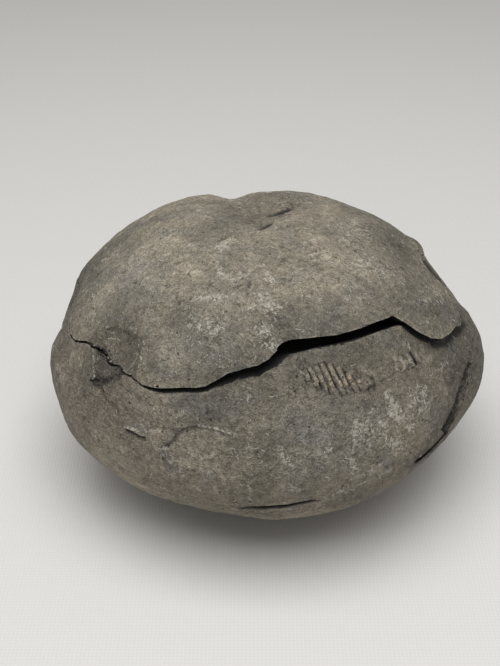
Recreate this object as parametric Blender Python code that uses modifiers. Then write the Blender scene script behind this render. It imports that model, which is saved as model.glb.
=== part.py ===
"""Ammonite nodule: an egg-shaped lump of grey mudstone that has split into a cap and a base.

The base holds the fossil. At the front its surface rises in a low mound over the ammonite's
outer whorl, and the whorl's ribs show there in two small patches. The cap is a domed lid
whose ragged edge overhangs the mound. Both pieces start as the same skin, an ellipsoid with
lumps and hollows, and are cut apart along one ragged crack.

Frame: +Z up, the crack's open side towards -Y, origin under the middle of the nodule, on the
face that it rests on. Bearings are degrees round the nodule as seen from above: 0 is the
front, 90 the +X side, -90 the -X side and 180 the back. Climbs are degrees up the unit sphere
that the skin is made from: 0 is the widest level and 90 the crown.
"""

import math

import bmesh
import bpy
from mathutils import Matrix, Vector, noise

MM = 0.001

# Driving dimensions
HALF_WIDTH = 50.0 * MM  # along X
HALF_DEPTH = 47.5 * MM  # along Y
HALF_HEIGHT = 32.0 * MM  # along Z
REST_DEPTH = 0.8 * MM  # how much the worn underside takes off the ellipsoid
CONTACT_GAP = 0.4 * MM  # between the two pieces where they touch
OPEN_GAP = 1.4 * MM  # least room over the base where the cap overhangs it

CENTRE = Vector((0, 0, HALF_HEIGHT - REST_DEPTH))
SHARP_ANGLE = math.radians(35)
SKIN_SUBDIVISIONS = 5

# Lumps and hollows that both pieces share: place, radius and height, in millimetres
LUMPS = (
    ((-26, 23, 53), 17, 2.4),
    ((-13, 27, 56), 6, 0.6),
    ((11, 27, 56.5), 14, 1.3),
    ((43, 10, 46), 9, -3.9),
    ((41, -3, 48), 9, -1.4),
    ((40, 14, 46), 6, -1.5),
    ((50, -8, 33), 7, 1.0),
    ((38, -26, 20), 14, -1.4),
    ((-47, 2, 41), 6, -3.4),
    ((-47.5, 6.5, 37.5), 4.5, -1.3),
    ((-49.5, -5.5, 34.5), 5, 0.8),
    ((-43, -21, 23), 12, 1.1),
    ((-15, -37, 13), 9, -0.8),
    ((2, -44, 17), 8, 0.7),
)
LUMP_NOISE = ((26 * MM, 0.45 * MM), (9 * MM, 0.22 * MM))  # wavelength and swing

# The cap's ragged lower edge: bearing, and height above the ground in millimetres
CAP_EDGE = (
    (-180, 39.5), (-166, 41.5), (-158, 40), (-142, 42.5), (-133, 41), (-118, 43),
    (-108, 42.5), (-96, 45), (-88, 44.5), (-81, 45.5), (-73, 44.2), (-68.5, 44.4), (-65.5, 44.8),
    (-62.5, 46.3), (-54, 46.8), (-46, 45.7), (-41, 46.1), (-36, 45.4), (-33.5, 45.6),
    (-18.5, 47.8), (-12.5, 50.1), (-9.5, 50.8), (-4, 51.4), (-1, 52.2), (1.5, 53.3),
    (4, 54), (7, 54.6), (25, 54.4), (43, 54.2), (51.3, 54.1), (53.2, 50.6),
    (56, 48.8), (57.5, 48), (64, 47.1), (70, 46.5), (73.5, 45.4), (79, 45.4), (85, 45.6),
    (87, 47.5), (89, 50.3), (91, 53.6), (98, 53), (103, 50.5), (109, 48.5),
    (119, 46), (128, 43), (136, 44), (146, 41.5), (160, 42.5), (170, 40.5), (180, 39.5),
)
# The base's rim: its drop below the cap's edge where they lie close, and its own height elsewhere
RIM_DROP = ((-180, 0.5), (-70, 0.6), (-41, 0.6), (-35, 0.7), (-31.5, 1.7), (-28, 1.3), (-18, 1.3), (-14, 2))
OPEN_RIM = (
    (-14, 47.3), (-11.5, 48.1), (-5, 48), (-1, 49.8), (3, 50.6), (11, 51.7), (19, 52.1), (40, 52),
    (47, 51.6), (60, 51), (69, 48.5), (76, 45), (85, 45), (91, 47.5), (98, 47.5), (106, 46), (116, 44.5),
    (121, 44),
)
DOME_HEIGHT = 53.5 * MM  # the base's fracture face in the middle, under the cap
DIP = 4.5 * MM  # how far that face sinks behind its rim on the open side
OPEN_BEARINGS = (-16, -4, 64, 77)  # the crack starts to gape, gapes, still gapes and is closed
OVERHANG = (0.28, 0.5)  # the void under the cap ends between these shares of the plan
RIM_BAND_START = (0.35, 0.8)  # where the fracture face bends to its rim, as a share of the way out
RIM_BAND_END = 0.98  # to it: on the closed side and on the open side, and where it gets there

# Depth of the base's bare front below the shared skin, in millimetres
BARE_DEPTH = (
    (-180, 0), (-40, 0), (-32, 0.5), (-18, 0.9), (-10, 2.2), (0, 2.7), (62, 2.7), (74, 2.0),
    (82, 0), (180, 0),
)
BARE_CLIMBS = (-4, 33)  # it starts and is full

DRUM_SECTORS = 96
DRUM_RINGS = (0.0, 0.35, 0.65, 0.8, 0.9, 0.98)  # as shares of the way out to the rim
DRUM_REACH = 1.2  # the drum's outer wall, as a share of the widest outline


def place(x, y, z):
    return Vector((x, y, z)) * MM


# Cap: a pinched valley that runs from the crown over the back
VALLEY = (place(-2.5, -3, 63), place(-5, 9, 61.5), place(-8.5, 27, 57), place(-12, 37, 49), place(-15, 43, 41))
VALLEY_HALF_WIDTH = 3.6 * MM
VALLEY_DEPTH = 1.9 * MM

# Base: the mound over the ammonite's outer whorl
MOUND = (place(-6, -38, 48), place(4, -37, 50.5), place(12, -35, 51), place(20, -31, 51), place(30, -25, 50))
MOUND_RADIUS = 7 * MM
MOUND_HEIGHT = 1.0 * MM

# Ribs of the whorl in two rows: bearing and climb of the first and the last, how many, half-length
RIB_ROWS = (
    ((10.5, 35.5), (25.5, 31), 8, 3.4 * MM),
    ((40, 31.5), (46.5, 31), 4, 2.0 * MM),
)
RIB_LEAN = 0.2  # degrees of bearing that a rib gains for each degree that it runs down
RIB_HALF_WIDTH = 0.55 * MM
RIB_HEIGHT = 0.4 * MM

# A chip off the front of both pieces, across the crack: place, radius and depth
CHIP_PLACE = place(-32.2, -26.3, 48.2)
CHIP_RADIUS = 13 * MM
CHIP_DEPTH = 1.8 * MM
# A flake off the underside of the cap's edge
FLAKE_PLACE = place(2.5, -33.5, 54.5)
FLAKE_RADII = (6 * MM, 1.6 * MM, 1.0 * MM)

# Base: a crease beside the rind that is left on the +X side, and two slits in the rind lower down
CREASE = (place(44.5, -16, 38), place(42.5, -21, 35), place(40.5, -25.5, 32), place(37.5, -29.5, 30))
CREASE_RADII = (0.3, 0.9, 0.9, 0.6)
CREASE_SINK = 0.15 * MM
CREASE_HOLLOW = (place(39.5, -23.5, 39.5), 6.5 * MM, 0.9 * MM)
SLITS = (
    (place(1.5, -46, 23.2), place(9, -45.5, 24.5), 8 * MM, 2.4 * MM, 0.5 * MM),
    (place(34.5, -33, 27.2), place(31, -36, 26.6), 5.3 * MM, 1.8 * MM, 0.35 * MM),
)


def between(table, bearing):
    """The value at a bearing of a table of (bearing, value) pairs, in straight lines between them."""
    for (low, first), (high, second) in zip(table, table[1:]):
        if bearing <= high:
            return first + (second - first) * max(0.0, bearing - low) / (high - low)
    return table[-1][1]


def smooth_step(low, high, value):
    """0 below low, 1 above high and an S-shaped rise between them."""
    t = max(0.0, min(1.0, (value - low) / (high - low)))
    return t * t * (3 - 2 * t)


def bell(distance, radius):
    return math.exp(-((distance / radius) ** 2))


def bearing_at(x, y):
    return math.degrees(math.atan2(x, -y))


def path_distance(point, path):
    """How far a point is from a path of points."""
    best = math.inf
    for start, end in zip(path, path[1:]):
        run = end - start
        t = max(0.0, min(1.0, (point - start).dot(run) / run.length_squared))
        best = min(best, (point - start - run * t).length)
    return best


def direction_at(bearing, climb):
    """The direction on the unit sphere for a bearing and a climb."""
    turn, rise = math.radians(bearing), math.radians(climb)
    return Vector((math.sin(turn) * math.cos(rise), -math.cos(turn) * math.cos(rise), math.sin(rise)))


def ellipsoid(direction):
    """The point and the outward normal of the plain ellipsoid for a direction on the unit sphere."""
    point = Vector((HALF_WIDTH * direction.x, HALF_DEPTH * direction.y, HALF_HEIGHT * direction.z))
    normal = Vector((direction.x / HALF_WIDTH, direction.y / HALF_DEPTH, direction.z / HALF_HEIGHT))
    return point + CENTRE, normal.normalized()


def shared_height(point):
    """Height of the skin over the ellipsoid, the same on both pieces."""
    height = sum(swing * noise.noise(point / wavelength) for wavelength, swing in LUMP_NOISE)
    for middle, radius, lump in LUMPS:
        height += lump * MM * bell((point - place(*middle)).length, radius * MM)
    return height


def cap_height(point, direction):
    fading_in = smooth_step(-8 * MM, 14 * MM, point.y)
    gap = path_distance(point, VALLEY)
    return shared_height(point) - VALLEY_DEPTH * fading_in * bell(gap, VALLEY_HALF_WIDTH)


def base_height(point, direction):
    """The base's own surface: bare and lower at the front, with the mound over the whorl."""
    climb = math.degrees(math.asin(direction.z))
    bare = between(BARE_DEPTH, bearing_at(direction.x, direction.y)) * MM
    hollow, radius, depth = CREASE_HOLLOW
    height = shared_height(point) - bare * smooth_step(*BARE_CLIMBS, climb)
    height -= depth * bell((point - hollow).length, radius)
    return height + MOUND_HEIGHT * bell(path_distance(point, MOUND), MOUND_RADIUS)


def skin_point(direction, height_at):
    point, normal = ellipsoid(direction)
    return point + normal * height_at(point, direction), normal


def skin(name, height_at, finer_path=None, reach=0.0):
    """A closed skin: an icosphere, finer near a path, with every vertex moved to its place."""
    bpy.ops.mesh.primitive_ico_sphere_add(subdivisions=SKIN_SUBDIVISIONS, radius=1)
    piece = bpy.context.object
    piece.name = name
    mesh = bmesh.new()
    mesh.from_mesh(piece.data)
    if finer_path:
        near = [v for v in mesh.verts if path_distance(ellipsoid(v.co.normalized())[0], finer_path) < reach]
        edges = list({edge for vertex in near for edge in vertex.link_edges})
        bmesh.ops.subdivide_edges(mesh, edges=edges, cuts=1)
        bmesh.ops.triangulate(mesh, faces=[face for face in mesh.faces if len(face.verts) > 3])
    for vertex in mesh.verts:
        vertex.co = skin_point(vertex.co.normalized(), height_at)[0]
        vertex.co.z = max(0.0, vertex.co.z)
    mesh.to_mesh(piece.data)
    mesh.free()
    return piece


def plan_share(x, y):
    """How far out a point is in plan: 0 on the axis and 1 at the widest outline."""
    return math.hypot(x / HALF_WIDTH, y / HALF_DEPTH)


def cap_edge_at(bearing):
    return between(CAP_EDGE, bearing) * MM


def rim_at(bearing):
    """Height of the base's rim, close under the cap's edge or on the open side at its own level."""
    if OPEN_RIM[0][0] < bearing < OPEN_RIM[-1][0]:
        return between(OPEN_RIM, bearing) * MM
    return cap_edge_at(bearing) - between(RIM_DROP, bearing) * MM


def reach_of(level):
    """Plan share of the plain skin at a level, 1 at its widest."""
    return math.sqrt(1 - ((level - CENTRE.z) / HALF_HEIGHT) ** 2)


def openness(bearing):
    """0 where the two pieces touch and 1 where the crack gapes."""
    opens, full, still, ends = OPEN_BEARINGS
    return smooth_step(opens, full, bearing) * (1 - smooth_step(still, ends, bearing))


def fracture_height(x, y):
    """The base's fracture face: a low dome down to the rim, sunk behind it on the open side."""
    bearing, share = bearing_at(x, y), plan_share(x, y)
    opened = openness(bearing)
    face = DOME_HEIGHT - DIP * opened * smooth_step(0, OVERHANG[1], share)
    face += 0.5 * MM * noise.noise(Vector((x, y, 0)) / (11 * MM))
    rim = rim_at(bearing)
    closed_start, open_start = RIM_BAND_START
    start = closed_start + (open_start - closed_start) * opened
    return face + (rim - face) * smooth_step(start, RIM_BAND_END, share / reach_of(rim))


def under_cap_height(x, y):
    """The cap's ragged edge carried straight inwards, and then down out of the cap's way."""
    out_of_way = 36 * MM
    share = smooth_step(*OVERHANG, plan_share(x, y))
    return out_of_way + (cap_edge_at(bearing_at(x, y)) - out_of_way) * share


def plain_mesh(piece):
    """The piece as a plain mesh of what its modifiers or its curve make, in the same collection."""
    bpy.context.view_layer.update()
    graph = bpy.context.evaluated_depsgraph_get()
    made = bpy.data.meshes.new_from_object(piece.evaluated_get(graph))
    name, matrix, home = piece.name, piece.matrix_world.copy(), piece.users_collection[0]
    bpy.data.objects.remove(piece)
    plain = bpy.data.objects.new(name, made)
    plain.matrix_world = matrix
    home.objects.link(plain)
    return plain


def snapped(bearing):
    """The bearing of the crack's nearest listed corner, where one is within half a sector."""
    nearest = min(CAP_EDGE, key=lambda corner: abs(corner[0] - bearing))[0]
    return nearest if abs(nearest - bearing) < 180 / DRUM_SECTORS else bearing


def drum(name, rim_level_at, height_at, far_level):
    """A turned drum for cutting a skin: its near face follows height_at, and its rings follow the rim."""
    outline = [(ring, 0, 0) for ring in (*DRUM_RINGS, DRUM_REACH)]
    outline += [(DRUM_REACH, 0, far_level), (0, 0, far_level)]
    profile = bpy.data.meshes.new(name)
    profile.from_pydata(outline, [(i, i + 1) for i in range(len(outline) - 1)], [])
    piece = bpy.data.objects.new(name, profile)
    CUTTERS.objects.link(piece)
    turn = piece.modifiers.new("turn", "SCREW")
    turn.steps = turn.render_steps = DRUM_SECTORS
    turn.use_merge_vertices = True
    turn.merge_threshold = 0.0001
    piece = plain_mesh(piece)
    mesh = bmesh.new()
    mesh.from_mesh(piece.data)
    for vertex in mesh.verts:
        bearing = snapped(bearing_at(vertex.co.x, vertex.co.y))
        reach = math.hypot(vertex.co.x, vertex.co.y)
        if reach < 1:
            reach *= reach_of(rim_level_at(bearing))
        x, y = math.sin(math.radians(bearing)), -math.cos(math.radians(bearing))
        vertex.co.x, vertex.co.y = Vector((x, y)) * (reach / plan_share(x, y))
        if vertex.co.z == 0:
            vertex.co.z = height_at(vertex.co.x, vertex.co.y)
    bmesh.ops.triangulate(mesh, faces=mesh.faces)
    bmesh.ops.recalc_face_normals(mesh, faces=mesh.faces)
    mesh.to_mesh(piece.data)
    mesh.free()
    return piece


def move_to(piece, collection):
    for home in list(piece.users_collection):
        home.objects.unlink(piece)
    collection.objects.link(piece)


def boolean(piece, others, operation="DIFFERENCE"):
    """Cuts other shapes out of a piece, or joins them to it, and keeps them among the cutters."""
    for other in others:
        step = piece.modifiers.new(operation.lower(), "BOOLEAN")
        step.operation = operation
        step.object = other
    piece = plain_mesh(piece)
    for other in others:
        move_to(other, CUTTERS)
        other.hide_render = True
        other.display_type = "WIRE"
    return piece


def egg(name, middle, radii, along, outward, segments=16, rings=8):
    """An ellipsoid whose first radius lies along one direction and whose third faces outward."""
    bpy.ops.mesh.primitive_uv_sphere_add(segments=segments, ring_count=rings, radius=1)
    piece = bpy.context.object
    piece.name = name
    third = outward.normalized()
    second = third.cross(along).normalized()
    turn = Matrix((second.cross(third), second, third)).transposed().to_4x4()
    piece.data.transform(Matrix.Translation(middle) @ turn @ Matrix.Diagonal((*radii, 1)))
    return piece


def direction_of(point):
    """The direction on the unit sphere whose ellipsoid point lies nearest to a place."""
    offset = point - CENTRE
    return Vector((offset.x / HALF_WIDTH, offset.y / HALF_DEPTH, offset.z / HALF_HEIGHT)).normalized()


def chip(name):
    """A ball that takes one shallow, dished chip off the skin."""
    surface, normal = skin_point(direction_of(CHIP_PLACE), lambda point, direction: shared_height(point))
    middle = surface + normal * (CHIP_RADIUS - CHIP_DEPTH)
    return egg(name, middle, (CHIP_RADIUS,) * 3, Vector((1, 0, 0)), normal, 32, 16)


def ribs():
    """Slim rounded ribs that lie on the mound, side by side in each row."""
    made = []
    for first, last, count, half_length in RIB_ROWS:
        for number in range(count):
            share = number / (count - 1)
            bearing = first[0] + (last[0] - first[0]) * share
            climb = first[1] + (last[1] - first[1]) * share
            middle, normal = skin_point(direction_at(bearing, climb), base_height)
            below, _ = skin_point(direction_at(bearing + RIB_LEAN, climb - 1), base_height)
            radii = (half_length * (0.5 + 0.5 * math.sin(math.pi * share)), RIB_HALF_WIDTH, RIB_HEIGHT)
            made.append(egg(f"rib_{len(made)}", middle, radii, below - middle, normal, 6, 6))
    return made


def crease():
    """A round tapered bar along the crease, sunk a little less than its radius into the skin."""
    line = bpy.data.curves.new("crease", "CURVE")
    line.dimensions = "3D"
    line.bevel_depth = 1.0 * MM
    line.bevel_resolution = 2
    line.use_fill_caps = True
    line.resolution_u = 4
    spline = line.splines.new("NURBS")
    spline.points.add(len(CREASE) - 1)
    spline.use_endpoint_u = True
    spline.order_u = 3
    for knot, point, radius in zip(spline.points, CREASE, CREASE_RADII):
        surface, normal = skin_point(direction_of(point), base_height)
        knot.co = (*(surface - normal * CREASE_SINK), 1)
        knot.radius = radius
    piece = bpy.data.objects.new("crease", line)
    CUTTERS.objects.link(piece)
    piece = plain_mesh(piece)
    mesh = bmesh.new()
    mesh.from_mesh(piece.data)
    bmesh.ops.remove_doubles(mesh, verts=mesh.verts, dist=0.00001)
    bmesh.ops.recalc_face_normals(mesh, faces=mesh.faces)
    mesh.to_mesh(piece.data)
    mesh.free()
    return piece


def slits():
    """Flat blades that part the rind from the stone under it, low on the front."""
    made = []
    for middle, towards, half_length, half_depth, half_gap in SLITS:
        surface, normal = skin_point(direction_of(middle), base_height)
        along = (towards - middle).normalized()
        flat = normal.cross(along)
        radii = (half_length, half_depth, half_gap)
        made.append(egg(f"slit_{len(made)}", surface, radii, along, flat, 24, 8))
    return made


def finish(piece, colour):
    """Takes a finished piece into the model with its one material and shading."""
    move_to(piece, PIECES)
    piece.data.shade_smooth()
    piece.data.set_sharp_from_angle(angle=SHARP_ANGLE)
    piece.data.materials.clear()
    piece.data.materials.append(stone(piece.name + "_mudstone", colour))


def no_lift(x, y):
    return 0.0


def clearance(x, y):
    """Room kept over the base: slight where the pieces touch and wider on the open side."""
    return CONTACT_GAP + (OPEN_GAP - CONTACT_GAP) * openness(bearing_at(x, y))


def base_form(name, lift):
    """The base without its small features, or the same grown by the lift."""
    body = skin(name, lambda point, direction: base_height(point, direction) + lift(point.x, point.y),
                MOUND if lift is no_lift else None, 2.5 * MM)
    top = drum(name + "_top", rim_at, lambda x, y: fracture_height(x, y) + lift(x, y), 90 * MM)
    return boolean(body, [top])


def stone(name, colour):
    material = bpy.data.materials.new(name)
    material.use_nodes = True
    shader = material.node_tree.nodes["Principled BSDF"]
    shader.inputs["Base Color"].default_value = (*colour, 1)
    shader.inputs["Roughness"].default_value = 0.85
    return material


def build_base():
    base = base_form("nodule_base", no_lift)
    base = boolean(base, ribs(), "UNION")
    base = boolean(base, [chip("chip_of_base"), crease(), *slits()])
    finish(base, (0.17, 0.155, 0.13))


def build_cap():
    cap = skin("nodule_cap", cap_height, VALLEY, 5 * MM)
    below = drum("under_cap", cap_edge_at, under_cap_height, -20 * MM)
    taken = base_form("base_clearance", clearance)
    outward = ellipsoid(direction_of(FLAKE_PLACE))[1]
    flake = egg("flake", FLAKE_PLACE, FLAKE_RADII, Vector((1, 0, 0)), outward)
    cap = boolean(cap, [below, taken, chip("chip_of_cap"), flake])
    finish(cap, (0.2, 0.185, 0.155))


def centre_on_origin():
    """Moves the pieces so that the middle of their box is over the origin, and its floor at it."""
    corners = [vertex.co for piece in PIECES.objects for vertex in piece.data.vertices]
    low = Vector([min(corner[axis] for corner in corners) for axis in range(3)])
    high = Vector([max(corner[axis] for corner in corners) for axis in range(3)])
    offset = Vector((-(low.x + high.x) / 2, -(low.y + high.y) / 2, -low.z))
    for piece in PIECES.objects:
        piece.data.transform(Matrix.Translation(offset))


for old in list(bpy.data.objects):
    bpy.data.objects.remove(old)
PIECES = bpy.data.collections.new("ammonite_nodule")
CUTTERS = bpy.data.collections.new("cutters")
for group in (PIECES, CUTTERS):
    bpy.context.scene.collection.children.link(group)
build_base()
build_cap()
centre_on_origin()
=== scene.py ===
# %% [markdown]
# # A split ammonite nodule
#
# The object is a rounded lump of grey mudstone. It grew round an ammonite, a coiled sea shell,
# while the mud about it was still soft, and long afterwards it split along one ragged crack
# into a base and a domed cap. The shell is still inside. Only a few of its ribs show, in two
# small patches below the crack.
#
# The solids come first. They have the true size and the main shapes, and everything below
# dresses them: a fine skin of stone, the ribs, the grit, the colours, and the light.

# %% Load the fixed frame
import math

import bmesh
import bpy
import numpy as np
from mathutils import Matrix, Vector, noise
from mathutils.bvhtree import BVHTree
from mathutils.kdtree import KDTree


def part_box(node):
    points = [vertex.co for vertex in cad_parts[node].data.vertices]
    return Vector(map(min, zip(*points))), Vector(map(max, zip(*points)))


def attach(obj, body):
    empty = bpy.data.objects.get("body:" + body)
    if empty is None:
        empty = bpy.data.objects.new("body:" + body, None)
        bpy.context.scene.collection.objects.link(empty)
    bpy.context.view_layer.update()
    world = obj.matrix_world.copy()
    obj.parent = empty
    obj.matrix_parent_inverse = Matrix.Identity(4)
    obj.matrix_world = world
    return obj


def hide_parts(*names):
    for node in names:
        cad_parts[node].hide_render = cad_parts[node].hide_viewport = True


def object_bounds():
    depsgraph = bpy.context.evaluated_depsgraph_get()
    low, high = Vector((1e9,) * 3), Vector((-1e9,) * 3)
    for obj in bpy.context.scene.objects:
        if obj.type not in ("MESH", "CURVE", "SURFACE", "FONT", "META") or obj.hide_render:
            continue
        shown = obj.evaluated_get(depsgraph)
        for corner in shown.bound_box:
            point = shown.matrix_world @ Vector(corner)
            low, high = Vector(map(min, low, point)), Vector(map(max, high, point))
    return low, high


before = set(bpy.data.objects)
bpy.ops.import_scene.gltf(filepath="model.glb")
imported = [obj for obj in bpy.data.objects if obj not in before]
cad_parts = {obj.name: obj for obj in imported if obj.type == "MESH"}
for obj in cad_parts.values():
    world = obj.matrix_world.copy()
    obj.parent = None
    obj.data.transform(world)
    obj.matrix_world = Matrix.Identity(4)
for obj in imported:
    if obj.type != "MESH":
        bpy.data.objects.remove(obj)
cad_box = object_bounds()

MM = 0.001
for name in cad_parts:
    low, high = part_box(name)
    print(name, "measures", " x ".join(f"{(end - start) / MM:.1f}" for start, end in zip(low, high)), "mm")

# %% [markdown]
# ## The camera
#
# A small object on a table is seen from a little above. The camera looks down at 33 degrees
# from a quarter of a metre away, through a lens of 60 mm. A longer lens from further away would make
# the nodule look flat, and a wider one would swell its front.

# %% Place the camera
CAMERA_PLACE = (-0.0040, -0.2166, 0.1760)
CAMERA_PITCH = math.radians(33)
LENS = 60
NEAREST_SEEN = 0.01

lens = bpy.data.cameras.new("camera")
lens.lens = LENS
lens.clip_start = NEAREST_SEEN
camera = bpy.data.objects.new("camera", lens)
camera.location = CAMERA_PLACE
camera.rotation_euler = (math.pi / 2 - CAMERA_PITCH, 0, 0)
bpy.context.scene.collection.objects.link(camera)
bpy.context.scene.camera = camera
print("camera at", CAMERA_PLACE, "looking down", round(math.degrees(CAMERA_PITCH)), "degrees")

# %% [markdown]
# ## The floor and the light
#
# The nodule rests on a plain pale cloth in a room. The light is soft. One wide panel hangs above
# and in front, a weak one stands far in front, and the pale room fills the rest, so that the
# crack alone goes dark. The standard view transform keeps the stone's colours as painted.

# %% Lay the floor and hang the lights
FLOOR_HALF = 1.5
FLOOR_COLOUR = (0.56, 0.55, 0.54)
WEAVE_SCALE = 0.31 / (0.8 * MM)  # a wave texture at scale 1 has a period of 0.31
WEAVE_WOBBLE = 0.6
WEAVE_TONES = (0.965, 1.04)
WEAVE_HEIGHT = 0.1 * MM
PANEL_PLACE = (-0.01, -0.16, 0.60)
PANEL_SIZE = 0.52
PANEL_WATTS = 4.7
FRONT_PLACE = (-0.1, -0.75, 0.4)
FRONT_SIZE = 0.5
FRONT_WATTS = 0.35
ROOM_COLOUR = (1.0, 0.975, 0.945)
ROOM_STRENGTH = 0.38


class Builder:
    """Adds nodes to a tree, with a short name for each of the commonest kinds."""

    def __init__(self, tree):
        self.tree = tree

    def grow(self, kind, inputs=None, **settings):
        """Adds a node. Its inputs, by name or number, are values or other nodes' outputs."""
        made = self.tree.nodes.new(kind)
        for key, value in settings.items():
            setattr(made, key, value)
        for key, value in (inputs or {}).items():
            if isinstance(value, bpy.types.NodeSocket):
                self.tree.links.new(value, made.inputs[key])
            else:
                made.inputs[key].default_value = value
        return made

    def first(self, kind, inputs=None, **settings):
        """Adds a node and hands over its first output."""
        return self.grow(kind, inputs, **settings).outputs[0]

    def maths(self, kind, *values):
        return self.first("ShaderNodeMath", dict(enumerate(values)), operation=kind)

    def times(self, product, *others):
        for other in others:
            product = self.maths("MULTIPLY", product, other)
        return product

    def ramp(self, value, low, high, bottom=0.0, top=1.0):
        """Goes from bottom to top while the value goes from low to high."""
        ends = {"From Min": low, "From Max": high, "To Min": bottom, "To Max": top}
        return self.first("ShaderNodeMapRange", {"Value": value, **ends})

    def scaled(self, vector, factor):
        return self.first("ShaderNodeVectorMath", {0: vector, "Scale": factor}, operation="SCALE")

    def mixed(self, first, second, share):
        return self.grow("ShaderNodeMix", {0: share, 6: first, 7: second}, data_type="RGBA").outputs[2]

    def spot(self):
        """The place on the object, in its own coordinates."""
        return self.grow("ShaderNodeTexCoord").outputs["Object"]


def shader_of(material):
    return material.node_tree.nodes["Principled BSDF"]


def plain_material(name, colour, roughness):
    material = bpy.data.materials.new(name)
    material.use_nodes = True
    shader_of(material).inputs["Base Color"].default_value = (*colour, 1)
    shader_of(material).inputs["Roughness"].default_value = roughness
    return material


def connect(material, outputs):
    """Links outputs to the inputs of a material's shader."""
    for name, output in outputs.items():
        material.node_tree.links.new(output, shader_of(material).inputs[name])


def linked(name, data):
    piece = bpy.data.objects.new(name, data)
    bpy.context.scene.collection.objects.link(piece)
    return piece


def soft_panel(name, place, target, size, watts):
    """A square area light that faces its target."""
    lamp = bpy.data.lights.new(name, "AREA")
    lamp.size = size
    lamp.energy = watts
    panel = linked(name, lamp)
    panel.location = place
    panel.rotation_euler = (Vector(target) - Vector(place)).to_track_quat("-Z", "Y").to_euler()


def pale_cloth():
    """A pale cloth with two sets of threads, which shade it and raise it a little."""
    material = plain_material("pale_cloth", FLOOR_COLOUR, 0.95)
    net = Builder(material.node_tree)
    threads = {"Vector": net.spot(), "Scale": WEAVE_SCALE, "Distortion": WEAVE_WOBBLE}
    weave = net.times(*(net.grow("ShaderNodeTexWave", threads, bands_direction=way).outputs["Fac"]
                        for way in "XY"))
    bump = net.first("ShaderNodeBump", {"Height": weave, "Strength": 0.4, "Distance": WEAVE_HEIGHT})
    tone = net.ramp(weave, 0.0, 1.0, *WEAVE_TONES)
    connect(material, {"Base Color": net.scaled(FLOOR_COLOUR, tone), "Normal": bump})
    return material


cloth = bpy.data.meshes.new("floor")
corners = [(x * FLOOR_HALF, y * FLOOR_HALF, 0) for x, y in ((-1, -1), (1, -1), (1, 1), (-1, 1))]
cloth.from_pydata(corners, [], [(0, 1, 2, 3)])
cloth.materials.append(pale_cloth())
floor = linked("floor", cloth)

soft_panel("ceiling_panel", PANEL_PLACE, (0, 0, 0), PANEL_SIZE, PANEL_WATTS)
soft_panel("front_panel", FRONT_PLACE, (0, 0, 0), FRONT_SIZE, FRONT_WATTS)
room = bpy.data.worlds.new("pale_room")
room.use_nodes = True
room.node_tree.nodes["Background"].inputs["Color"].default_value = (*ROOM_COLOUR, 1)
room.node_tree.nodes["Background"].inputs["Strength"].default_value = ROOM_STRENGTH
bpy.context.scene.world = room
bpy.context.scene.view_settings.view_transform = "Standard"

# %% [markdown]
# ## The fine skin of the stone
#
# The solids are made of large flat facets. Stone needs thousands of small ones, so that its
# surface can be worn, pitted and chipped in real geometry. Each solid is copied and every edge
# longer than a limit is split in the middle, in a few rounds. A voxel remesh would be simpler,
# but its cells don't line up with the sharp edges of the crack and leave teeth along them.

# %% Lay a fine net over a copy of each solid
LONGEST_EDGE = {"nodule_base": 1.2 * MM, "nodule_cap": 0.95 * MM}
SPLIT_ROUNDS = 5
SHARP = math.radians(28)
EDGE_STEP = 0.15 * MM


def sharp_edge_tree(mesh):
    """A search tree of points along the edges where a solid's faces meet sharply."""
    points = []
    for edge in mesh.edges:
        if len(edge.link_faces) == 2 and edge.calc_face_angle() > SHARP:
            start, end = (vertex.co for vertex in edge.verts)
            steps = max(1, math.ceil((end - start).length / EDGE_STEP))
            points += [start.lerp(end, step / steps) for step in range(steps + 1)]
    tree = KDTree(len(points))
    for number, point in enumerate(points):
        tree.insert(point, number)
    tree.balance()
    return tree


def vectors(piece, kind):
    flat = np.empty(len(piece.data.vertices) * 3)
    piece.data.vertices.foreach_get(kind, flat)
    return flat.reshape(-1, 3)


def places(piece):
    return vectors(piece, "co")


def normals(piece):
    return vectors(piece, "normal")


def skin(piece):
    """The places and the normals of a piece's points, one row for each."""
    return places(piece), normals(piece)


def set_places(piece, points):
    piece.data.vertices.foreach_set("co", points.ravel())
    piece.data.update()


def smooth_step(low, high, value):
    share = np.clip((value - low) / (high - low), 0, 1)
    return share * share * (3 - 2 * share)


def write_attribute(piece, name, values):
    attributes = piece.data.attributes
    kept = attributes.get(name) or attributes.new(name, "FLOAT", "POINT")
    kept.data.foreach_set("value", np.asarray(values, dtype=np.float32))


def read_attribute(piece, name):
    values = np.zeros(len(piece.data.vertices), dtype=np.float32)
    if name in piece.data.attributes:
        piece.data.attributes[name].data.foreach_get("value", values)
    return values.astype(float)


def split(mesh, edges):
    """Splits some edges in the middle, and cuts the faces beside them back into triangles."""
    bmesh.ops.subdivide_edges(mesh, edges=edges, cuts=1)
    bmesh.ops.triangulate(mesh, faces=[face for face in mesh.faces if len(face.verts) > 3])


def fine_copy(node, name):
    """A copy of a solid with a fine net, and each point's distance to the nearest sharp edge."""
    solid = bmesh.new()
    solid.from_mesh(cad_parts[node].data)
    bmesh.ops.remove_doubles(solid, verts=solid.verts, dist=0.001 * MM)
    edges = sharp_edge_tree(solid)
    for _ in range(SPLIT_ROUNDS):
        split(solid, [edge for edge in solid.edges if edge.calc_length() > LONGEST_EDGE[node]])
    for face in solid.faces:
        face.smooth = True
    mesh = bpy.data.meshes.new(name)
    solid.to_mesh(mesh)
    solid.free()
    if "custom_normal" in mesh.attributes:
        mesh.attributes.remove(mesh.attributes["custom_normal"])  # they belong to the large facets
    piece = linked(name, mesh)
    write_attribute(piece, "edge_distance", [edges.find(vertex.co)[2] for vertex in mesh.vertices])
    print(name, "has", len(mesh.polygons), "faces")
    return piece


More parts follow.
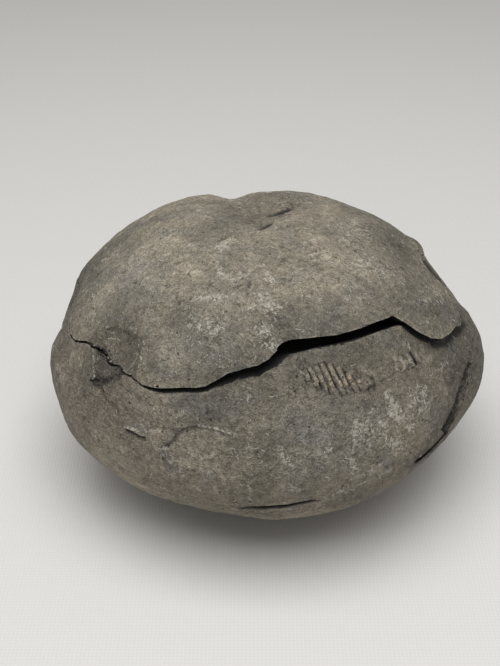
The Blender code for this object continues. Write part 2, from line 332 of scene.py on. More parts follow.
base = fine_copy("nodule_base", "stone_base")
cap = fine_copy("nodule_cap", "stone_cap")

# %% [markdown]
# Smoothing moves each point halfway towards the middle of its neighbours. Thirty rounds reach
# about 2 mm, which is enough to lose the facets and too little to lose the lumps. The ribs of
# the solid go too, because finer ones are laid over them later.

# %% Smooth the facets away
SMOOTH_ROUNDS = 30
EDGE_CORE = 0.1 * MM  # points this near a sharp edge stay where they are
EDGE_REACH = 1.6 * MM  # and points this far from it are smoothed in full


def smoothed(piece, weight, rounds):
    """Moves each point towards the middle of its neighbours, as far as its weight says."""
    mesh = piece.data
    pairs = np.empty(len(mesh.edges) * 2, dtype=np.int64)
    mesh.edges.foreach_get("vertices", pairs)
    first, second = pairs.reshape(-1, 2).T
    count = len(mesh.vertices)
    neighbours = np.bincount(first, minlength=count) + np.bincount(second, minlength=count)
    points = places(piece)
    for _ in range(rounds):
        middle = np.stack([
            np.bincount(first, points[second, axis], count) + np.bincount(second, points[first, axis], count)
            for axis in range(3)], axis=1) / neighbours[:, None]
        points += (middle - points) * (0.5 * weight)[:, None]
    set_places(piece, points)


for piece in (base, cap):
    distance = read_attribute(piece, "edge_distance")
    smoothed(piece, smooth_step(EDGE_CORE, EDGE_REACH, distance), SMOOTH_ROUNDS)
    print(piece.name, "smoothed;", int((distance < EDGE_REACH).sum()), "points lie near an edge")

# %% [markdown]
# ## Distances along the surface
#
# Every mark on the stone follows a short path of points on it. How far a point of the skin is
# from that path is measured along the skin: the part of the offset that faces out of the
# stone is left out, so a mark keeps its width where its points lie a little too high or low.

# %% Measure from a path
def arrays(path):
    """A path's points in metres. A single point is doubled, so that every path has a line."""
    points = np.array(path, dtype=float).reshape(-1, 3) * MM
    return points if len(points) > 1 else np.repeat(points, 2, axis=0)


def offsets(points, start, end):
    """How far points lie from the nearest spot of a straight line, as vectors."""
    run = end - start
    share = np.clip((points - start) @ run / max(run @ run, 1e-18), 0, 1)
    return points - start - share[:, None] * run


def from_path(points, facing, path, reach):
    """The numbers of the points within reach of a path, their distance and their side, + on its left."""
    line = arrays(path)
    low, high = line.min(axis=0) - reach, line.max(axis=0) + reach
    near = np.flatnonzero(((points > low) & (points < high)).all(axis=1))
    spots, out = points[near], facing[near]
    best = np.full(len(near), np.inf)
    side = np.zeros(len(near))
    for start, end in zip(line, line[1:]):
        offset = offsets(spots, start, end)
        offset -= out * (offset * out).sum(axis=1)[:, None]
        distance = np.linalg.norm(offset, axis=1)
        closer = distance < best
        best[closer] = distance[closer]
        side[closer] = np.sign((np.cross(out, end - start) * offset).sum(axis=1))[closer]
    inside = best < reach
    return near[inside], best[inside], side[inside]


def bell(distance, radius):
    return np.exp(-((distance / radius) ** 2))

# %% [markdown]
# ## Fine lines need a finer net
#
# The grooves between the ribs and the edges of the chips are narrower than the net's cells. So
# the net is split along them, twice on the base and once on the cap, and only there. The slits
# and the crease are wide enough for the net as it is. All paths are in millimetres.

# %% List the fine lines and split the net along them
# Each groove between two ribs runs from its upper end to its lower end
RIB_GROOVES = (
    ((6.3, -35.7, 49.6), (7.5, -36.9, 48.7)),
    ((7.3, -35.4, 49.7), (8.5, -37.2, 47.9)),
    ((8.4, -35.2, 49.7), (10.3, -37.7, 46.5)),
    ((9.7, -34.3, 50.0), (12.0, -38.0, 45.4)),
    ((10.9, -33.7, 50.2), (13.3, -37.0, 46.1)),
    ((12.6, -33.9, 49.7), (14.6, -36.4, 46.5)),
    ((14.5, -34.2, 48.9), (16.0, -35.9, 46.1)),
    ((16.6, -34.7, 47.5), (17.4, -35.5, 46.3)),
)
FAINT_GROOVES = (
    ((29.2, -26.5, 47.7), (30.4, -27.7, 45.6)),
    ((27.2, -27.8, 48.0), (28.6, -29.6, 45.8)),
    ((26.1, -28.6, 48.1), (26.9, -30.3, 46.0)),
)
FRONT_SLIT = ((-6.3, -44.8, 21.6), (-2.4, -45.6, 22.3), (1.4, -45.7, 22.7), (6.2, -45.6, 23.6),
              (9.5, -45.3, 24.0))
SIDE_SLIT = ((38.0, -29.0, 28.6), (35.3, -32.1, 28.2), (30.9, -36.2, 26.8))
LOWER_SLIT = ((38.8, -27.0, 25.6), (34.6, -32.4, 26.4))
CREASE = ((44.4, -15.7, 38.0), (43.6, -17.5, 37.6), (42.1, -21.1, 35.9), (40.9, -24.1, 34.4),
          (39.5, -27.1, 32.6), (37.1, -30.6, 31.0))
RIND_END = ((37.1, -30.6, 31.0), (37.6, -29.8, 29.6), (38.4, -28.8, 28.8))
CHIP_EDGE = ((-37.3, -19.1, 48.0), (-32.0, -21.4, 50.5), (-26.3, -26.8, 51.5), (-26.2, -29.1, 50.1),
             (-26.9, -31.9, 47.4), (-28.0, -32.2, 46.3))
CHIP_RIDGE = ((-36.6, -22.9, 46.0), (-36.3, -25.6, 44.5), (-36.7, -27.1, 42.7), (-37.3, -27.7, 41.4))
SCAR_EDGE = ((-21.1, -42.2, 35.4), (-19.4, -42.4, 36.9), (-18.6, -42.1, 38.4), (-17.5, -42.0, 39.5),
             (-15.9, -42.1, 40.2), (-14.5, -42.3, 40.6))
SCAR_LIP = ((-14.5, -42.3, 40.6), (-12.5, -42.6, 40.7), (-10.5, -43.0, 40.4), (-8.3, -43.6, 39.9),
            (-6.4, -44.2, 39.2))
SIDE_LIP = ((-29.3, -37.2, 36.6), (-27.6, -38.3, 36.7), (-25.9, -39.4, 36.3))
SIDE_LIP_FOOT = ((-29.1, -37.5, 36.0), (-27.1, -38.9, 35.9), (-25.2, -40.0, 35.8))
CHIP_FOOT = ((-37.2, -27.9, 41.3), (-36.0, -29.2, 41.2), (-34.8, -30.6, 40.9))
FINE_BAND = 0.9 * MM
SETTLE_ROUNDS = 6
SETTLE_REACH = 1.5  # of the band


def finer_near(piece, paths, reach, rounds):
    """Splits the net's cells near some paths, once for each round, and lets the new points settle."""
    for _ in range(rounds):
        points, facing = skin(piece)
        near = np.zeros(len(points), dtype=bool)
        for path in paths:
            near[from_path(points, facing, path, reach)[0]] = True
        mesh = bmesh.new()
        mesh.from_mesh(piece.data)
        edges = [edge for edge in mesh.edges if near[edge.verts[0].index] and near[edge.verts[1].index]]
        split(mesh, edges)
        mesh.to_mesh(piece.data)
        mesh.free()
        weight = np.zeros(len(piece.data.vertices))
        for path in paths:
            weight[from_path(*skin(piece), path, SETTLE_REACH * reach)[0]] = 1
        weight *= smooth_step(EDGE_CORE, EDGE_REACH, read_attribute(piece, "edge_distance"))
        smoothed(piece, weight, SETTLE_ROUNDS)
    print(piece.name, "now has", len(piece.data.polygons), "faces")


finer_near(base, [*RIB_GROOVES, *FAINT_GROOVES, CHIP_RIDGE, SCAR_EDGE, SCAR_LIP, SIDE_LIP, CHIP_FOOT,
                  RIND_END], FINE_BAND, 2)
finer_near(cap, [CHIP_EDGE], FINE_BAND, 1)

# %% [markdown]
# ## Weather the surface
#
# Mudstone wears into low swells, with a fine roughness on top. Both follow a rule over the
# whole surface, so a small Geometry Nodes tree makes them: two layers of noise, each with a
# height and a size, move every point a little along its normal. They fade out at the sharp
# edges, which are frayed in a step of their own.

# %% Build the weathering tree
SWELL = (1.1 * MM, 9.0 * MM)  # height and size
ROUGHNESS = (0.42 * MM, 2.4 * MM)
EDGE_FADE = 1.2 * MM
WEATHER_SEED = 4.0


def new_tree(name, *sizes, **others):
    """A Geometry Nodes tree under construction, with a named input for each size and for other kinds."""
    tree = bpy.data.node_groups.new(name, "GeometryNodeTree")
    for way in ("INPUT", "OUTPUT"):
        tree.interface.new_socket("Geometry", in_out=way, socket_type="NodeSocketGeometry")
    for label, kind in {**dict.fromkeys(sizes, "NodeSocketFloat"), **others}.items():
        tree.interface.new_socket(label, in_out="INPUT", socket_type=kind)
    return Builder(tree), tree.nodes.new("NodeGroupInput").outputs


def field(net, name):
    """A point attribute, read inside a Geometry Nodes tree."""
    return net.first("GeometryNodeInputNamedAttribute", {"Name": name}, data_type="FLOAT")


def run_tree(piece, tree, values):
    """Runs a tree on a piece with values for its named inputs, and keeps the result as its plain mesh."""
    step = piece.modifiers.new(tree.name, "NODES")
    step.node_group = tree
    for socket in tree.interface.items_tree:
        if socket.item_type == "SOCKET" and socket.in_out == "INPUT" and socket.name in values:
            step[socket.identifier] = values[socket.name]
    bpy.context.view_layer.update()
    graph = bpy.context.evaluated_depsgraph_get()
    made = bpy.data.meshes.new_from_object(piece.evaluated_get(graph))
    piece.modifiers.clear()
    piece.data = made


def weathering_tree():
    net, given = new_tree("weathering", "Swell Height", "Swell Size", "Rough Height", "Rough Size",
                          "Edge Fade", "Seed")

    def layer(height, size, detail):
        scale = net.maths("DIVIDE", 1.0, given[size])
        pattern = net.first("ShaderNodeTexNoise", {"W": given["Seed"], "Scale": scale, "Detail": detail},
                            noise_dimensions="4D")
        return net.times(net.maths("SUBTRACT", pattern, 0.5), given[height])

    worn = net.maths("ADD", layer("Swell Height", "Swell Size", 2.0),
                     layer("Rough Height", "Rough Size", 3.0))
    shift = net.times(worn, net.ramp(field(net, "edge_distance"), 0.0, given["Edge Fade"]))
    offset = net.scaled(net.first("GeometryNodeInputNormal"), shift)
    net.grow("NodeGroupOutput", {
        0: net.first("GeometryNodeSetPosition", {"Geometry": given["Geometry"], "Offset": offset})})
    return net.tree


weathering = weathering_tree()
for piece in (base, cap):
    before = places(piece)
    run_tree(piece, weathering, {
        "Swell Height": SWELL[0], "Swell Size": SWELL[1], "Rough Height": ROUGHNESS[0],
        "Rough Size": ROUGHNESS[1], "Edge Fade": EDGE_FADE, "Seed": WEATHER_SEED})
    moved = np.linalg.norm(places(piece) - before, axis=1) / MM
    print(f"{piece.name} moved by {moved.mean():.2f} mm on average, {moved.max():.2f} mm at most")

# %% [markdown]
# ## Fray the crack
#
# A crack through mudstone runs straight from one corner to the next only at first sight. Its
# edge crumbles in little bites. The points near the sharp edges are moved by a noise that
# depends on their place and a fixed seed alone, so two edges that touch fray alike and still fit
# each other.
# Before that, four stretches of the edge are shifted by a millimetre or two: the crack runs lower
# on the left, the cap bulges above the notch on the right and is cut back in it, and the mound's
# rim stands higher.

# %% Move the points near the sharp edges
FRAY = ((0.13, 3.2), (0.06, 1.0))  # swing and wavelength, in millimetres
FRAY_REACH = 1.1 * MM
FRAY_SEED = 4  # the noise has another pattern each run without it
WARPS = (  # piece (None stands for both), path, shift and reach, in millimetres
    (None, ((-31.9, -25.2, 46.5),), (-1.5, -0.8, -1.3), 3.0),
    (cap, ((34.0, 9.0, 53.6),), (1.6, 0.3, 1.0), 4.2),
    (cap, ((36.8, 10.5, 49.2),), (-2.2, 0.0, 0.2), 3.0),
    (base, ((4.0, -32.8, 50.2), (8.1, -32.0, 50.8), (12.2, -30.0, 50.7), (16.3, -28.7, 50.9),
            (20.5, -27.1, 51.3), (26.0, -23.6, 51.0)), (0.0, 0.1, 1.25), 2.6),
)


def distance_to(points, path):
    """Each point's distance to a path, in a straight line."""
    line = arrays(path)
    return np.min([np.linalg.norm(offsets(points, start, end), axis=1) for start, end in zip(line, line[1:])],
                  axis=0)


def warped(piece):
    """Shifts the crack's edge where a warp says so, less and less away from the warp's path."""
    points = places(piece)
    for only, path, shift, reach in WARPS:
        if only in (None, piece):
            points += bell(distance_to(points, path), reach * MM)[:, None] * np.array(shift) * MM
    set_places(piece, points)


def frayed(piece):
    """Moves the points near the sharp edges by a noise, the more the nearer they are."""
    points = places(piece)
    distance = read_attribute(piece, "edge_distance")
    near = np.flatnonzero(distance < 2.5 * FRAY_REACH)
    for number in near:
        spot = Vector(points[number])
        shift = sum((noise.noise_vector(spot / (size * MM)) * swing * MM for swing, size in FRAY), Vector())
        points[number] += np.array(shift) * math.exp(-((distance[number] / FRAY_REACH) ** 2))
    set_places(piece, points)
    print(piece.name, "frayed at", len(near), "points")


noise.seed_set(FRAY_SEED)
for piece in (base, cap):
    warped(piece)
    frayed(piece)

# %% [markdown]
# ## Carve the marks
#
# Three kinds of mark make nearly all the small relief. A groove sinks the skin along a path.
# A step lowers it on one side of a path, sharply at the path and less and less away from it.
# A chip lowers all of it within an outline, as a flake leaves it. The deeper a groove is, the
# less light reaches its bottom, so the slits go dark by themselves. The slits and the narrow
# grooves are painted dark as well further on, as painted shade.

# %% Carve grooves, a step and chips
BASE_GROOVES = (  # path, half-width and depth in millimetres; a depth below 0 makes a ridge
    *((groove, 0.16, 0.3) for groove in RIB_GROOVES[1:7]), (RIB_GROOVES[0], 0.16, 0.15),
    (RIB_GROOVES[7], 0.16, 0.22), (FAINT_GROOVES[0], 0.14, 0.35), (FAINT_GROOVES[1], 0.18, 0.16),
    (FAINT_GROOVES[2], 0.18, 0.1), (RIND_END, 0.3, 0.5), (CREASE, 0.45, 0.4), (SIDE_SLIT, 0.4, 0.5),
    (CHIP_RIDGE, 0.5, -0.3), (CHIP_FOOT, 0.35, 0.25), (SCAR_EDGE, 0.3, 0.25), (SCAR_LIP, 0.4, -0.3),
    (SIDE_LIP, 0.4, -0.4), (SIDE_LIP_FOOT, 0.35, 0.3),
    (((-37.2, -27.7, 41.5), (-35.5, -29, 42.1), (-33.8, -29.8, 43.1), (-33, -29.8, 43.8),
     (-31.3, -29.9, 45)), 0.35, 0.4), (((-35.7, -29.4, 41.4), (-34.2, -30.3, 42)), 0.25, 0.25),
    (((-34.8, -30.8, 40.6), (-31.8, -34.3, 39.2), (-29.8, -36, 38.6)), 0.4, 0.15),
    (((5, -39, 46.1),), 0.3, 0.5), (((4.9, -38.8, 46.6),), 0.3, 0.5), (((-35, -30.5, 40.8),), 0.5, 0.6),
    (((46.2, -9.9, 39.6),), 0.8, 0.8), (((43.3, -9.1, 43.1),), 0.6, 1), (((13.5, -42, 19.2),), 0.7, 0.9),
    (((29.3, -36.2, 37.2),), 0.35, 0.5),
)
GROOVE_REACH = 3  # in half-widths
CREASE_STEP = (4.5, 0.3)  # reach and depth
STEP_REACH = 2.5  # in reaches
STEP_EDGE = 0.12 * MM
CAP_PITS = (
    ((-10.9, -4.9, 62.4), (-9.2, -3.6, 62.7)), ((-4.2, -19.6, 60.3), (-4.6, -22.4, 59.4)),
    ((-18.8, -21.7, 57), (-18, -21.4, 57.3)),
)
CAP_GROOVES = (
    (((-5.7, 26.4, 57.7), (-4, 8.8, 61.5), (-2.5, -1, 63)), 1.3, 0.4),
    (((-9.5, 18, 59.5), (-6.5, 9.5, 61.3), (-3.4, 1.5, 62.8)), 0.9, 0.25),
    (((1.5, 7.5, 62.8), (4.4, 9.8, 62.5)), 0.9, 0.5), (((-1.4, 0.3, 62.9), (0.2, 1.5, 63)), 0.8, 0.45),
    (((3, 15, 61.3), (-0.5, 8, 62.5), (-2, 2, 63)), 0.8, 0.2),
    (((-9.6, -12.5, 61.7), (-9.3, -15.2, 61.2), (-7.3, -16.9, 61), (-5.2, -16.8, 61.1)), 0.9, 0.35),
    (CAP_PITS[0], 0.7, 0.35), (CAP_PITS[1], 0.35, 0.25), (CAP_PITS[2], 0.5, 0.4),
)
CAP_WRINKLES = (
    ((-2.3, 0.5, 62.9), (-4.5, 8, 61.7), (-7.5, 14, 60.5), (-10.5, 19, 59)),
    ((-2, 0.8, 62.9), (-3.2, 8, 61.9), (-5, 16, 60), (-5.9, 25, 58)),
    ((-1.6, 1.5, 62.9), (-1.8, 8, 62.3), (-2.5, 15, 61)),
    ((-0.6, 1.5, 63), (1, 7, 62.7), (1.8, 14, 61.6)),
    ((0.5, 2.5, 63), (3.5, 7.8, 62.5), (6.5, 11, 62)),
)
WRINKLE = (0.45, 0.22)  # half-width and depth
CAP_CHIP = (*CHIP_EDGE[:5], (-28.5, -35, 44), (-36, -32, 42), (-41, -22, 45))
BASE_CHIP = ((-36.6, -21, 47), *CHIP_RIDGE[1:], (-33.5, -30.3, 42.5), (-31, -31.5, 44.1), (-29, -30.5, 47),
             (-33, -22, 49))
FLAKE = (*SCAR_EDGE, *SCAR_LIP[1:], (-7, -46, 35.5), (-12.5, -46, 31), (-19.5, -43.5, 33))
CHIPS = (  # piece, outline, depth, and the attribute that marks it, with its strength
    (cap, CAP_CHIP, 0.3, "chip", 1.0), (base, BASE_CHIP, 0.4, "chip", 1.0), (base, FLAKE, 0.35, "beige", 0.8),
)
CHIP_BORDER = 0.18 * MM
CHIP_THICKNESS = 8 * MM  # how far from its outline's plane a chip still counts
CHIP_FACING = 0.35


def sink(piece, numbers, depths):
    """Moves some points of a piece into it along their normals."""
    points = places(piece)
    points[numbers] -= normals(piece)[numbers] * depths[:, None]
    set_places(piece, points)


def carve(piece, grooves):
    for path, half_width, depth in grooves:
        near, distance, _ = from_path(*skin(piece), path, GROOVE_REACH * half_width * MM)
        sink(piece, near, depth * MM * bell(distance, half_width * MM))
    print(piece.name, "carved with", len(grooves), "grooves, ridges and pits")


def step_down(piece, path, reach, depth):
    """Lowers the skin on a path's left, sharply beside the path and less and less away from it."""
    near, distance, side = from_path(*skin(piece), path, STEP_REACH * reach * MM)
    lowered = smooth_step(-STEP_EDGE, STEP_EDGE, side * distance) * bell(distance, reach * MM)
    sink(piece, near, depth * MM * lowered)


def within(piece, outline, border):
    """How far each point lies in an outline, from 0 outside to 1 inside, seen along the outline's normal."""
    corners = arrays(outline)
    centre = corners.mean(axis=0)
    _, _, (across, up, out) = np.linalg.svd(corners - centre)
    out = out if out @ centre > 0 else -out
    points = places(piece) - centre
    flat = points @ np.stack([across, up]).T
    ring = (corners - centre) @ np.stack([across, up]).T
    inside = np.zeros(len(points), dtype=bool)
    nearest = np.full(len(points), np.inf)
    for start, end in zip(ring, np.roll(ring, -1, axis=0)):
        run = end - start
        crosses = (start[1] > flat[:, 1]) != (end[1] > flat[:, 1])
        level = start[0] + (flat[:, 1] - start[1]) * run[0] / (run[1] if abs(run[1]) > 1e-9 else 1e-9)
        inside ^= crosses & (flat[:, 0] < level)
        nearest = np.minimum(nearest, np.linalg.norm(offsets(flat, start, end), axis=1))
    share = smooth_step(-border, border, np.where(inside, nearest, -nearest))
    return share * (normals(piece) @ out > CHIP_FACING) * (np.abs(points @ out) < CHIP_THICKNESS)


carve(base, BASE_GROOVES)
step_down(base, tuple(reversed(CREASE)), *CREASE_STEP)
carve(cap, CAP_GROOVES + tuple((path, *WRINKLE) for path in CAP_WRINKLES))
for piece, outline, depth, label, strength in CHIPS:
    share = within(piece, outline, CHIP_BORDER)
    sink(piece, np.arange(len(share)), depth * MM * share)
    write_attribute(piece, label, np.maximum(read_attribute(piece, label), strength * share))
    print(piece.name, "has a chip of", int((share > 0.5).sum()), "points")

# %% [markdown]
# ## Paint the marks
#
# Pale scratches, brown stains, grey bare patches and dark hollows can't be left to chance, because
# each one sits at its own place. They are strokes too: a radius, a strength and a path. Each
# kind of mark gets an attribute on the points, which the stone's material reads later. Most of
# the dark strokes are painted shade, in slits, grooves, the crease and hollows, at the foot of
# lips and edges, behind the cap's notch and under its tip.

# %% Paint strokes into attributes
# For each kind of mark its strokes: radius in millimetres, strength and path
BASE_MARKS = {"dark": (
    # Most dark strokes are painted shade: in the slits, the crease and the rind's end, at the foot of edges
    # and lips, and in hollows
    (0.45, 0.9, ((19.5, -35.7, 44.6), (20, -35.1, 45.2), (21, -34.4, 45.4))),
    (0.5, 0.8, ((20.4, -33.8, 46.5), (21, -34.5, 45.2), (21.2, -35.2, 44.3))),
    (0.35, 0.6, ((22.5, -33.4, 45.5), (23.8, -32.6, 45.6), (25.1, -31.6, 45.7))),
    (0.7, 0.5, ((17.5, -34.3, 47.5), (18.3, -34.3, 47.1))), (0.3, 1, FAINT_GROOVES[0]),
    (0.25, 0.55, ((27.2, -27.8, 48), (28.2, -29.3, 46.6), (28.6, -29.6, 45.8))),
    (0.25, 0.35, FAINT_GROOVES[2]), (0.45, 0.55, ((7.1, -37.3, 48), (8.1, -36.7, 48.3))),
    (1, 0.5, ((-12.9, -41.2, 43.2), (-11.7, -41.6, 42.6))),
    (0.5, 0.5, ((-7.9, -42.7, 41.4), (-5.8, -42.3, 42.3))), (0.5, 0.95, FRONT_SLIT), (0.9, 1, SIDE_SLIT),
    (0.5, 0.9, LOWER_SLIT), (0.5, 1, CREASE), (0.4, 0.9, RIND_END), (0.3, 0.6, SCAR_EDGE),
    # painted shadow: the radius 3 stroke at the end of this line and the next stroke darken the base behind
    # the cap's notch, and the long stroke after them darkens the base under the cap's tip
    (0.35, 0.5, SIDE_LIP_FOOT), (0.35, 0.5, CHIP_FOOT), (3, 0.75, ((37.7, 15.9, 45.3), (41.3, 14.9, 41.2))),
    (1, 0.9, ((36.5, 16, 46.5), (38.5, 14, 44.5))),
    (1.3, 0.8, ((34.5, -20.8, 45.8), (38, -17.5, 44.1), (39.9, -14.6, 43.8), (41.8, -11.6, 43.4),
     (43.6, -8.6, 43))), (3.5, 0.3, ((42, -20, 38), (39, -26.5, 35))),
), "pale": (
    (1, 0.9, ((29.6, -32.8, 41.2), (31.2, -31.9, 40.8), (32.3, -31.8, 39.7))),
    (0.8, 0.9, ((31.9, -30.7, 41.2), (32.3, -31.8, 39.7), (32.8, -32.2, 38.7))),
    (0.8, 0.8, ((32.3, -32.4, 38.9), (31.1, -34, 38.3))),
    (0.7, 0.7, ((27.6, -35.2, 40.2), (29.6, -33.6, 40.3), (31.2, -32.6, 40))),
    (1.3, 0.9, ((24.6, -35.6, 41.8), (25.2, -36.5, 40.4), (26.9, -37, 38.3))),
    (0.9, 0.8, ((24.5, -37.1, 40.1), (26.5, -36, 40.1))),
    (0.7, 0.7, ((23.5, -34.8, 43.4), (24.6, -35.5, 42))),
    (1.6, 0.8, ((17.4, -40.8, 39.5), (18.6, -40.2, 39.7), (19.2, -40.7, 38.6))),
    (1.1, 0.8, ((22.2, -39.6, 38.3), (23.4, -38.7, 38.6))),
    (0.9, 0.8, ((23, -40.1, 36.8), (23.5, -40.7, 35))), (1.5, 0.7, ((25, -40, 34.7), (26.6, -39.6, 32.9))),
    (0.6, 0.8, ((20.5, -40.3, 38.3), (20.9, -40.9, 37.2))),
    (0.7, 0.8, ((16.8, -41.8, 38.4), (17.4, -42.5, 36.8), (16.6, -43.5, 35.3), (15.4, -44.2, 34.5),
     (16.6, -44.4, 32.9))), (0.9, 0.7, ((16.6, -44.4, 32.9), (17, -44.5, 29.3), (18.7, -43.9, 29.3))),
    (0.8, 0.7, ((18.8, -41.4, 37.8), (19.5, -42, 36.3))),
    (0.9, 0.6, ((10.7, -44.9, 36.1), (11.7, -44.3, 36.7))),
    (1, 0.7, ((20.5, -43.1, 29.7), (22.2, -42.4, 30.4))),
    (0.8, 0.7, ((17.2, -43.7, 26), (21, -42.5, 27.1), (25, -40.6, 27.9))),
    (1.1, 0.6, ((12, -44.6, 23.8), (14.4, -44.4, 25.3), (16.2, -44.2, 26.4))),
    (1.2, 0.7, ((3.4, -47.3, 29.1), (4.6, -47.1, 28.1))),
    (0.8, 0.7, ((2.1, -45.8, 36.8), (3.5, -46.5, 35.1), (4.7, -46.7, 34.2))),
    (0.7, 0.7, ((28.2, -37, 37), (29.1, -36, 37.7), (30.5, -35.6, 36.7), (29.6, -36.6, 35.9),
     (28.4, -37, 36.7))), (0.35, 0.7, ((33.5, -27.4, 42.5), (35.7, -24.3, 42), (38.1, -21, 41.3))),
    (0.6, 0.6, ((20.3, -38.1, 41.4), (21.4, -37.2, 41.9))),
    (0.7, 0.6, ((9.6, -45.4, 24.5), (10.9, -43.8, 21.2))),
    (0.45, 0.6, ((19.2, -39.5, 40.2), (20.1, -38.2, 41.4), (21.2, -37.5, 41.7))),
    (0.5, 0.7, ((-5.2, -38.3, 47.7), (-4.2, -40.1, 45.6))),
    (0.5, 0.6, ((-7.6, -45.3, 36.7), (-4.6, -45.3, 37.7), (-2.6, -45.1, 38.1))),
    (0.5, 0.6, ((-21.3, -42.2, 35.2), (-20.5, -42.9, 33.2), (-17.9, -44.1, 30.6), (-16.2, -44.3, 26.8))),
    (0.45, 0.6, ((-15.9, -43.9, 36.1), (-15.4, -44.7, 33.6), (-13, -45.6, 31.6), (-11, -46.1, 30.4))),
    # painted highlight on the raised lips: this stroke and the next two follow the scar's lip and the side
    # lip, and so do the strokes on SCAR_LIP, SIDE_LIP and CHIP_RIDGE further down
    (0.5, 0.7, ((-13.9, -42.9, 39.8), (-11.5, -43, 40.4), (-10.3, -43.4, 39.9))),
    (0.45, 0.8, ((-10.3, -43.2, 40.3), (-8.3, -43.6, 39.9), (-6.4, -44.3, 39.1))),
    (0.4, 0.7, ((-29.5, -37.1, 36.5), (-28, -38.1, 36.5), (-27.1, -38.8, 36.1))),
    (0.45, 0.6, ((-26.7, -38.3, 38), (-24.8, -39.6, 37.5), (-22, -40.7, 38.1))),
    (0.6, 0.6, ((-21.7, -40.9, 23), (-20.4, -39.5, 19.5))),
    (0.5, 0.5, ((-3.2, -47, 33.5), (-3.4, -47.4, 31.3), (-4.4, -47, 27.8), (-4, -46.5, 25.2))),
    (0.8, 0.6, ((-4.8, -46.6, 26.1), (-3.6, -47.3, 29.1))), (0.4, 0.7, SCAR_LIP), (0.35, 0.6, SIDE_LIP),
    (0.4, 0.5, CHIP_RIDGE), (1, 0.5, ((-46.5, -15.4, 36.4), (-44.8, -19.6, 36.7))),
    (0.35, 0.6, ((-5.5, -44.3, 20.6), (0, -45.2, 21.2), (5.5, -45, 21.6))),
), "brown": (
    (3, 0.8, ((24.7, -38.7, 37.6), (27.4, -38.2, 35.6))),
    (3, 0.5, ((17.1, -35.5, 46.2), (21.2, -36.4, 42.9))), (4, 0.6, ((32.3, -28.1, 43.2), (36, -26, 40.4))),
    (5, 0.5, ((-41.2, -26.5, 35.6), (-37.7, -31.4, 31.3))), (4.5, 0.7, ((38.5, 13.5, 44), (42.5, 10, 40.5))),
    (4, 0.5, ((-35, -30, 40.5), (-31, -34, 39))),
), "grey": (
    (4, 0.8, ((11.9, -39.3, 43.8), (16, -37.8, 43.9), (20.1, -38, 41.6))),
    (3.5, 0.8, ((21.1, -38, 41.1), (23.2, -38, 39.8))),
    (5, 0.7, ((5.9, -43.2, 40.6), (11.9, -43.9, 37.4), (5.9, -46.8, 33.4))),
    (4, 0.6, ((32.1, -32.1, 39.7), (34.5, -32.8, 35.1))),
    (3, 0.7, ((-17.9, -38.7, 44.6), (-12.9, -40.6, 44), (-8, -40.5, 44.7))),
    (3, 0.5, ((36.5, -20, 44), (39.7, -16.5, 43))),
), "beige": (
    (4, 0.8, ((-16.9, -42.9, 37.8), (-10.9, -44.4, 37.7), (-8, -46.2, 34.1))),
    (3, 0.7, ((-5, -42.9, 41.5), (-1, -42.3, 42.4))), (2.5, 0.7, ((-24.1, -37.7, 41.8), (-21, -39.5, 41.5))),
    (2.5, 0.7, ((4.9, -39.7, 45.3), (9.9, -40, 43.8))),
    (3, 0.5, ((-33.9, -31.6, 40.6), (-30.5, -34.6, 40.3))),
    (2.5, 0.7, ((-46.9, -15.1, 35.9), (-45.4, -18.9, 35.9))), (7, 0.7, ((-40, -22, 32), (-30, -34, 28))),
)}
